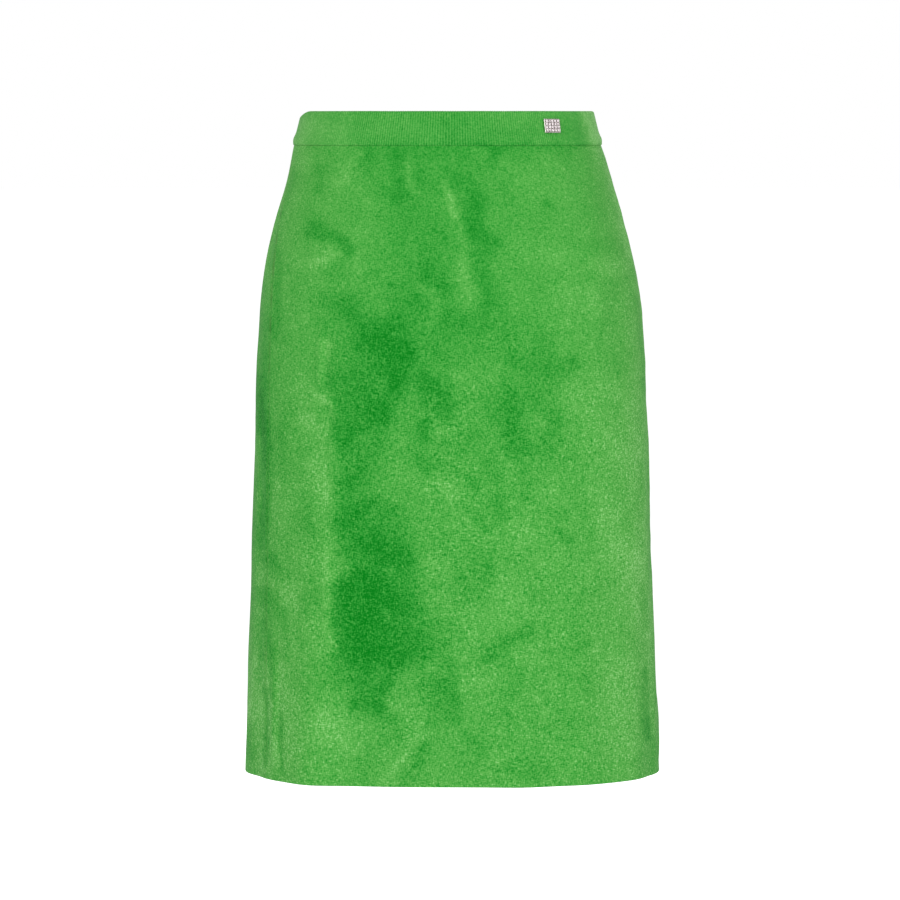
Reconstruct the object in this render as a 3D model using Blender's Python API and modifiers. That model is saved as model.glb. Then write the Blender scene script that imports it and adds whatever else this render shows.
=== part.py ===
"""Knee-length pull-on pencil skirt in velour knit, with a ribbed waistband and a stone-set plaque.

The skirt is hollow and filled out as on a figure, open at the waist and at the hem.
Metres, +Z up. The origin is the centre of the waist opening, level with the top of the band.
The front faces -Y, and +X is on the right as seen from the front.

A place on the cloth is given by its turn and its drop. The turn is the angle round the skirt,
in degrees: 0 at the front's middle, 90 at the right side, 180 at the back's middle, -90 at the
left side. The drop is the distance below the top of the band.
"""

import math

import bmesh
import bpy
import numpy as np
from mathutils import Matrix, Vector

# Driving dimensions, in metres.
SKIRT_LENGTH = 0.582
BAND_HEIGHT = 0.0295
BAND_WALL = 0.0036  # rib knit, folded double
VELOUR_WALL = 0.0020
BAND_SEAM_GAP = 0.0004
SIDE_SEAM_GAP = 0.0005

# The middle of the cloth's wall at a few levels. Shift is the section's centre along X, and
# squareness is the exponent of its rounded outline: 2 is an ellipse, more is squarer.
SECTION_COLUMNS = ("drop", "half_width", "front_depth", "back_depth", "shift", "squareness")
SECTIONS = (
    (0.000, 0.1264, 0.0880, 0.0970, -0.0006, 2.05),
    (0.031, 0.1340, 0.0925, 0.1020, -0.0009, 2.08),
    (0.060, 0.1409, 0.0968, 0.1070, 0.0003, 2.14),
    (0.090, 0.1502, 0.1010, 0.1120, 0.0005, 2.20),
    (0.120, 0.1581, 0.1048, 0.1162, 0.0007, 2.26),
    (0.160, 0.1652, 0.1085, 0.1205, 0.0015, 2.32),
    (0.200, 0.1685, 0.1108, 0.1225, 0.0020, 2.36),
    (0.280, 0.1717, 0.1122, 0.1205, 0.0025, 2.38),
    (0.400, 0.1757, 0.1124, 0.1170, 0.0025, 2.40),
    (0.520, 0.1803, 0.1128, 0.1155, 0.0033, 2.40),
    (0.582, 0.1824, 0.1135, 0.1150, 0.0038, 2.40),
)

# The side seams run forward of the sides, by these angles.
SEAM_COLUMNS = ("drop", "left_forward", "right_forward")
SEAMS = (
    (0.031, 7.0, 2.0),
    (0.060, 10.0, 2.5),
    (0.130, 20.0, 3.0),
    (0.220, 24.0, 4.0),
    (0.320, 25.0, 4.5),
    (0.450, 26.0, 6.0),
    (0.582, 27.0, 14.0),
)

# The largest folds: each starts at nothing at its own drop, deepens down to the hem, and leans
# from one turn to another. A ridge has a positive height, a trough a negative one. A fold's
# height grows as its share of the way down to the hem, raised to this power.
FOLD_GROWTH = 1.3
FOLD_COLUMNS = ("start_drop", "start_turn", "hem_turn", "half_angle", "height")
FOLDS = (
    (0.150, -34.0, -38.0, 10.0, 0.0090),
    (0.260, -66.0, -70.0, 10.0, -0.0050),
    (0.300, 11.0, 15.0, 8.0, 0.0050),
    (0.330, 30.0, 33.0, 10.0, 0.0030),
    (0.380, 68.0, 72.0, 9.0, -0.0030),
    (0.200, 118.0, 112.0, 10.0, -0.0045),
    (0.170, 146.0, 140.0, 11.0, 0.0065),
    (0.280, 178.0, 183.0, 9.0, -0.0030),
    (0.220, 212.0, 217.0, 11.0, 0.0060),
    (0.300, 240.0, 246.0, 10.0, -0.0045),
)

# How finely the cloth is divided: steps round a panel or the band, and steps down it.
PANEL_STEPS_ROUND = 32
PANEL_STEPS_DOWN = 20
BAND_STEPS_ROUND = 64
BAND_STEPS_DOWN = 3

# The plaque on the band: a small metal plate set with rows of round stones.
PLAQUE_WIDTH = 0.0158
PLAQUE_HEIGHT = 0.0121
PLAQUE_THICKNESS = 0.0012
PLAQUE_CHAMFER = 0.0002
PLAQUE_TURN = 42.6
PLAQUE_DROP = 0.0128
PLAQUE_SEAT = 0.0004  # from the band's nominal outer face to the plate's back
STONE_COLUMNS = 5
STONE_ROWS = 4
STONE_PITCH_ACROSS = 0.0029
STONE_PITCH_DOWN = 0.0027
STONE_RADIUS = 0.00118
STONE_TABLE_RADIUS = 0.00065
STONE_HEIGHT = 0.0009
STONE_SIDES = 10
STONE_GAP = 0.0003  # from the plate's face to the stones


def follow(rows, column, drop):
    """A smooth curve through one column of a table whose first column is the drop.

    Between two rows it is the cubic that meets both values, with slopes from their neighbours.
    """
    levels = rows[:, 0]
    values = rows[:, column]
    slopes = np.gradient(values, levels)
    row = np.clip(np.searchsorted(levels, drop, side="right") - 1, 0, len(levels) - 2)
    span = levels[row + 1] - levels[row]
    part = np.clip((drop - levels[row]) / span, 0.0, 1.0)
    start = (1 + 2 * part) * (1 - part) ** 2 * values[row]
    start_slope = part * (1 - part) ** 2 * span * slopes[row]
    end = part**2 * (3 - 2 * part) * values[row + 1]
    end_slope = part**2 * (part - 1) * span * slopes[row + 1]
    return start + start_slope + end + end_slope


def fold_height(turn, drop):
    """How far the folds push the cloth out: bells round the skirt, deepening down to the hem."""
    height = np.zeros(np.broadcast(turn, drop).shape)
    for row in FOLDS:
        fold = dict(zip(FOLD_COLUMNS, row))
        down = np.clip((drop - fold["start_drop"]) / (SKIRT_LENGTH - fold["start_drop"]), 0.0, 1.0)
        centre = fold["start_turn"] + (fold["hem_turn"] - fold["start_turn"]) * down
        away = (turn - centre + 180.0) % 360.0 - 180.0
        bell = np.exp(-((away / fold["half_angle"]) ** 2))
        height = height + fold["height"] * down**FOLD_GROWTH * bell
    return height


def cloth_point(turn, drop, out=0.0):
    """The place at a turn and a drop, moved out from the middle of the wall, as an (..., 3) array.

    A section is a rounded outline, |x / a| ** n + |y / b| ** n = 1, with its own depth in front
    and behind. The folds and the outward distance are added along the outline's normal.
    """
    turn, drop = np.broadcast_arrays(np.asarray(turn, float), np.asarray(drop, float))
    sections = np.array(SECTIONS)
    column = SECTION_COLUMNS.index
    half_width = follow(sections, column("half_width"), drop)
    front_depth = follow(sections, column("front_depth"), drop)
    back_depth = follow(sections, column("back_depth"), drop)
    shift = follow(sections, column("shift"), drop)
    squareness = follow(sections, column("squareness"), drop)
    across = np.sin(np.radians(turn))
    ahead = np.cos(np.radians(turn))
    depth = np.where(ahead > 0, front_depth, back_depth)
    x_share = np.sign(across) * np.abs(across) ** (2 / squareness)
    y_share = -np.sign(ahead) * np.abs(ahead) ** (2 / squareness)
    normal_x = np.sign(x_share) * np.abs(x_share) ** (squareness - 1) / half_width
    normal_y = np.sign(y_share) * np.abs(y_share) ** (squareness - 1) / depth
    length = np.hypot(normal_x, normal_y)
    outward = (fold_height(turn, drop) + out) / length
    x = shift + half_width * x_share + normal_x * outward
    y = depth * y_share + normal_y * outward
    return np.stack((x, y, -drop), axis=-1)


def distance_per_degree(turn, drop):
    """How far along the cloth one degree of turn goes, at each place."""
    step = 0.5
    ahead = cloth_point(turn + step, drop)
    behind = cloth_point(turn - step, drop)
    return np.linalg.norm(ahead - behind, axis=-1) / (2 * step)


def clear_scene():
    """Removes whatever the scene holds, so that the model starts empty."""
    for thing in list(bpy.data.objects):
        bpy.data.objects.remove(thing, do_unlink=True)


def make_collection(name):
    """A new collection in the scene, for the skirt's pieces."""
    collection = bpy.data.collections.new(name)
    bpy.context.scene.collection.children.link(collection)
    return collection


def make_material(name, colour, roughness, metallic=0.0, sheen=0.0):
    """A plain finish: a Principled BSDF with its colour, roughness, metallic value and sheen."""
    material = bpy.data.materials.new(name)
    material.use_nodes = True
    shader = material.node_tree.nodes["Principled BSDF"]
    shader.inputs["Base Color"].default_value = (*colour, 1.0)
    shader.inputs["Roughness"].default_value = roughness
    shader.inputs["Metallic"].default_value = metallic
    shader.inputs["Sheen Weight"].default_value = sheen
    material.diffuse_color = (*colour, 1.0)
    return material


def make_object(name, mesh, material, collection):
    """An object for a finished mesh, with its material, in the skirt's collection."""
    mesh.materials.append(material)
    thing = bpy.data.objects.new(name, mesh)
    collection.objects.link(thing)
    return thing


def cloth_sheet(name, steps_round, steps_down, place, closed, wall, material, collection):
    """A sheet of cloth: a grid mapped onto the skirt's form, then given its wall.

    place(round_share, down_share) gives the points, with both shares from 0 to 1. A closed sheet
    meets itself, as the band does.
    """
    sheet = bmesh.new()
    bmesh.ops.create_grid(sheet, x_segments=steps_round, y_segments=steps_down, size=0.5)
    shares = np.array([vertex.co[:2] for vertex in sheet.verts]) + 0.5
    points = place(shares[:, 0], 1.0 - shares[:, 1])
    for vertex, point in zip(sheet.verts, points):
        vertex.co = Vector(point)
    if closed:
        bmesh.ops.remove_doubles(sheet, verts=sheet.verts, dist=0.0001)
    for face in sheet.faces:
        face.smooth = True
    mesh = bpy.data.meshes.new(name)
    sheet.to_mesh(mesh)
    sheet.free()
    thing = make_object(name, mesh, material, collection)
    thickness = thing.modifiers.new("wall", "SOLIDIFY")
    thickness.thickness = wall
    thickness.offset = 0.0
    thickness.use_rim = True
    return thing


def make_waistband(collection):
    """The waistband: a ring of rib knit, folded double, that stands a little proud of the velour."""
    material = make_material("rib_knit", (0.075, 0.36, 0.050), 0.85, sheen=0.3)

    def place(round_share, down_share):
        return cloth_point(360.0 * round_share - 180.0, BAND_HEIGHT * down_share)

    return cloth_sheet("waistband", BAND_STEPS_ROUND, BAND_STEPS_DOWN, place, True, BAND_WALL,
                       material, collection)


def make_panel(name, first_seam, last_seam, material, collection):
    """A panel of velour from one side seam round to the other, from under the band to the hem.

    first_seam(drop) and last_seam(drop) give the turns of its two edges.
    """
    top = BAND_HEIGHT + BAND_SEAM_GAP

    def place(round_share, down_share):
        drop = top + (SKIRT_LENGTH - top) * down_share
        first = first_seam(drop)
        last = last_seam(drop)
        first = first + SIDE_SEAM_GAP / 2 / distance_per_degree(first, drop)
        last = last - SIDE_SEAM_GAP / 2 / distance_per_degree(last, drop)
        return cloth_point(first + (last - first) * round_share, drop)

    return cloth_sheet(name, PANEL_STEPS_ROUND, PANEL_STEPS_DOWN, place, False, VELOUR_WALL,
                       material, collection)


def make_panels(collection):
    """The front and the back, which meet at the two side seams."""
    material = make_material("velour", (0.080, 0.390, 0.065), 0.90, sheen=0.5)
    seams = np.array(SEAMS)

    def left_seam(drop):
        return -90.0 + follow(seams, SEAM_COLUMNS.index("left_forward"), drop)

    def right_seam(drop):
        return 90.0 - follow(seams, SEAM_COLUMNS.index("right_forward"), drop)

    def left_seam_from_behind(drop):
        return left_seam(drop) + 360.0

    make_panel("front_panel", left_seam, right_seam, material, collection)
    make_panel("back_panel", right_seam, left_seam_from_behind, material, collection)


def plaque_frame():
    """The plaque's place on the band: X along it, Y up it, Z straight out of it."""
    step = 0.002
    centre = Vector(cloth_point(PLAQUE_TURN, PLAQUE_DROP, BAND_WALL / 2 + PLAQUE_SEAT))
    ahead = Vector(cloth_point(PLAQUE_TURN + 1.0, PLAQUE_DROP))
    behind = Vector(cloth_point(PLAQUE_TURN - 1.0, PLAQUE_DROP))
    above = Vector(cloth_point(PLAQUE_TURN, PLAQUE_DROP - step))
    below = Vector(cloth_point(PLAQUE_TURN, PLAQUE_DROP + step))
    along = (ahead - behind).normalized()
    out = along.cross(above - below).normalized()
    up = out.cross(along)
    frame = Matrix((along, up, out)).transposed().to_4x4()
    frame.translation = centre
    return frame


def make_plaque(collection):
    """The plaque: a chamfered plate against the band, with the stones in rows on its face."""
    frame = plaque_frame()
    metal = make_material("plaque_metal", (0.62, 0.60, 0.58), 0.25, metallic=1.0)
    block = bmesh.new()
    bmesh.ops.create_cube(block, size=1.0)
    bmesh.ops.scale(block, vec=(PLAQUE_WIDTH, PLAQUE_HEIGHT, PLAQUE_THICKNESS), verts=block.verts)
    bmesh.ops.translate(block, vec=(0, 0, PLAQUE_THICKNESS / 2), verts=block.verts)
    mesh = bpy.data.meshes.new("plaque_plate")
    block.to_mesh(mesh)
    block.free()
    plate = make_object("plaque_plate", mesh, metal, collection)
    plate.matrix_world = frame
    chamfer = plate.modifiers.new("chamfer", "BEVEL")
    chamfer.width = PLAQUE_CHAMFER
    chamfer.segments = 1

    glass = make_material("stone_glass", (0.92, 0.88, 0.88), 0.05)
    stone = bmesh.new()
    bmesh.ops.create_cone(stone, cap_ends=True, segments=STONE_SIDES, radius1=STONE_RADIUS,
                          radius2=STONE_TABLE_RADIUS, depth=STONE_HEIGHT)
    stone_mesh = bpy.data.meshes.new("stone")
    stone.to_mesh(stone_mesh)
    stone.free()
    stone_mesh.materials.append(glass)
    lift = PLAQUE_THICKNESS + STONE_GAP + STONE_HEIGHT / 2
    for row in range(STONE_ROWS):
        for place in range(STONE_COLUMNS):
            across = (place - (STONE_COLUMNS - 1) / 2) * STONE_PITCH_ACROSS
            up = ((STONE_ROWS - 1) / 2 - row) * STONE_PITCH_DOWN
            gem = bpy.data.objects.new(f"stone_{row + 1}_{place + 1}", stone_mesh)
            gem.matrix_world = frame @ Matrix.Translation((across, up, lift))
            collection.objects.link(gem)


def build_skirt():
    """The whole skirt, from the waistband down."""
    clear_scene()
    collection = make_collection("pencil_skirt")
    make_waistband(collection)
    make_panels(collection)
    make_plaque(collection)
    bpy.context.view_layer.update()


build_skirt()
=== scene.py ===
import bpy
import numpy as np
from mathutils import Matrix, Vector


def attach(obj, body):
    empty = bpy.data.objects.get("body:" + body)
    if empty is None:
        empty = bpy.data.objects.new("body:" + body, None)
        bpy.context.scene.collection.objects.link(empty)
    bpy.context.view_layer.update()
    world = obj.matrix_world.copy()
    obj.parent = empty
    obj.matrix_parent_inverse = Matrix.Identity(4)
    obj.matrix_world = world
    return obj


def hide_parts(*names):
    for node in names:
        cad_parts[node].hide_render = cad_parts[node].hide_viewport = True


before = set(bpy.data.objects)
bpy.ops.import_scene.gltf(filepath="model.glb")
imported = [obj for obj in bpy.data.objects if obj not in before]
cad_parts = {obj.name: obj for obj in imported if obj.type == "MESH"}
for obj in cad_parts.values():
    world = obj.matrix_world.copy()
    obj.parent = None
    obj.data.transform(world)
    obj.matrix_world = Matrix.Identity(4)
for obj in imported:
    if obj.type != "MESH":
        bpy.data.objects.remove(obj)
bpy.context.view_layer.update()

# --- Velour panels ---------------------------------------------------------------------------
# The front and the back are two panels of velour: a knit ground with a short dense pile, about
# 2 mm thick in all. They meet at the side seams, hang from the waistband and end in a clean hem.

# A place on the cloth is given by its turn round the skirt, in degrees (0 at the front's middle,
# 90 at the right side as seen, 180 behind), and its drop below the top of the band, in metres.
SKIRT_LENGTH = 0.582
BAND_HEIGHT = 0.0295
VELOUR_WALL = 0.0020
TUCKED_IN_BAND = 0.0022
SIDE_SEAM_GAP = 0.0001
SIDE_EDGE_RADIUS = 0.0003
WELT_OFFSET = 0.0034
WELT_HALF_WIDTH = 0.0020
WELT_HEIGHT = 0.0004
RELIEF_ONSET = 0.012
PARTING_HALF_WIDTH = 0.0018
PARTING_FADE = 0.14
CLOUD_CELLS = 32
MILLIMETRE = 0.001

# The skirt's level outlines: drop, half width, depth in front, depth behind, shift to the right,
# and squareness, which is 2 for an ellipse.
SECTIONS = np.array((
    (0.000, 0.1264, 0.0880, 0.0970, -0.0006, 2.05),
    (0.031, 0.1340, 0.0925, 0.1020, -0.0009, 2.08),
    (0.060, 0.1409, 0.0968, 0.1070, 0.0003, 2.14),
    (0.090, 0.1502, 0.1010, 0.1120, 0.0005, 2.20),
    (0.120, 0.1581, 0.1048, 0.1162, 0.0007, 2.26),
    (0.160, 0.1652, 0.1085, 0.1205, 0.0015, 2.32),
    (0.200, 0.1685, 0.1108, 0.1225, 0.0020, 2.36),
    (0.280, 0.1717, 0.1122, 0.1205, 0.0025, 2.38),
    (0.400, 0.1757, 0.1124, 0.1170, 0.0025, 2.40),
    (0.520, 0.1803, 0.1128, 0.1155, 0.0033, 2.40),
    (0.582, 0.1824, 0.1135, 0.1150, 0.0038, 2.40),
))

# How far the side seams run forward of the sides: drop, left seam's turn, right seam's turn.
SEAMS = np.array((
    (0.031, 7.0, 2.0),
    (0.060, 10.0, 2.5),
    (0.130, 20.0, 3.0),
    (0.220, 24.0, 4.0),
    (0.320, 25.0, 4.5),
    (0.450, 26.0, 6.0),
    (0.582, 27.0, 14.0),
))

# The largest folds: start drop, start turn, hem turn, half angle, height at the hem.
FOLD_GROWTH = 1.3
FOLDS = (
    (0.150, -34.0, -38.0, 10.0, 0.0090),
    (0.260, -66.0, -70.0, 10.0, -0.0050),
    (0.300, 11.0, 15.0, 8.0, 0.0050),
    (0.330, 30.0, 33.0, 10.0, 0.0030),
    (0.380, 68.0, 72.0, 9.0, -0.0030),
    (0.200, 118.0, 112.0, 10.0, -0.0045),
    (0.170, 146.0, 140.0, 11.0, 0.0065),
    (0.280, 178.0, 183.0, 9.0, -0.0030),
    (0.220, 212.0, 217.0, 11.0, 0.0060),
    (0.300, 240.0, 246.0, 10.0, -0.0045),
)

# Small creases, given in millimetres on the four sides of the skirt. Each is a stroke:
# across, drop, to across, to drop, half width, and height, which is below nothing for a trough.
# Across is from the middle, along X on the front and the back and along Y on the two sides.
CREASES = {}
CREASES["front"] = (
    (-3, 60, 13, 92, 4.5, 1.1), (8, 58, 27, 110, 6, -1), (27, 112, 36, 190, 8, -0.8),
    (11, 104, 16, 165, 5, 0.8), (27, 48, 37, 60, 8, -0.7), (-117, 88, -84, 122, 5, -1),
    (-124, 124, -102, 130, 6, 0.7), (-108, 186, -110, 240, 2.6, 0.9),
    (-103, 190, -105, 246, 2.8, -0.8), (-109, 244, -92, 266, 3, 0.8),
    (-106, 252, -100, 276, 3, -0.6), (-99, 368, -98, 500, 4, -0.8), (-105, 366, -103, 500, 4, 0.7),
    (-57, 577, -10, 524, 4, 0.8), (-43, 580, -12, 540, 4.5, -0.7), (-10, 524, 5, 502, 5, 0.5),
    (-98, 270, -98, 360, 8, 0.8), (60, 330, 94, 460, 14, -0.8), (30, 470, 72, 446, 6, -0.6),
    (30, 455, 66, 436, 6, 0.5), (-10, 340, 4, 420, 10, 0.7), (120, 60, 134, 210, 10, 0.9),
    (-45, 40, -46, 84, 6, -0.8), (-52, 38, -55, 120, 7, 0.6), (110, 400, 118, 575, 12, 1),
    (-147, 440, -146, 578, 3, -0.9), (-152, 470, -152, 578, 3, 0.6),
    (-158, 500, -159, 578, 3, -0.8), (56, 150, 84, 128, 10, 0.5), (70, 226, 98, 216, 9, -0.6),
)
CREASES["back"] = (
    (-12, 50, -24, 128, 5, 1), (-22, 48, -38, 150, 7, -0.9), (34, 44, 50, 130, 8, -0.9),
    (44, 42, 62, 110, 6, 0.7), (112, 84, 80, 124, 5, -1), (118, 120, 96, 130, 6, 0.7),
    (-92, 110, -60, 146, 5, -0.8), (98, 220, 102, 330, 3.5, 0.8), (93, 226, 96, 326, 4, -0.7),
    (-54, 290, -34, 430, 12, -0.9), (20, 578, 62, 500, 4.5, 1.1), (30, 580, 70, 510, 5.5, -1),
    (-104, 420, -112, 578, 9, 1), (-70, 540, -40, 520, 6, -0.6), (4, 260, 14, 370, 9, 0.7),
    (128, 300, 136, 470, 9, -0.7), (-128, 180, -134, 330, 8, 0.7), (60, 420, 76, 470, 7, -0.6),
)
CREASES["left"] = (
    (-20, 60, -34, 150, 6, -0.8), (10, 70, 24, 180, 7, 0.8), (-40, 240, -44, 400, 6, -0.7),
    (30, 300, 18, 470, 9, 0.8), (-6, 520, 22, 576, 5, -0.7),
)
CREASES["right"] = (
    (-12, 64, -30, 160, 7, 0.8), (24, 56, 40, 150, 6, -0.8), (-26, 280, -16, 450, 8, -0.7),
    (36, 240, 44, 380, 6, 0.7), (-20, 574, 10, 510, 5, 0.9),
)
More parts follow.
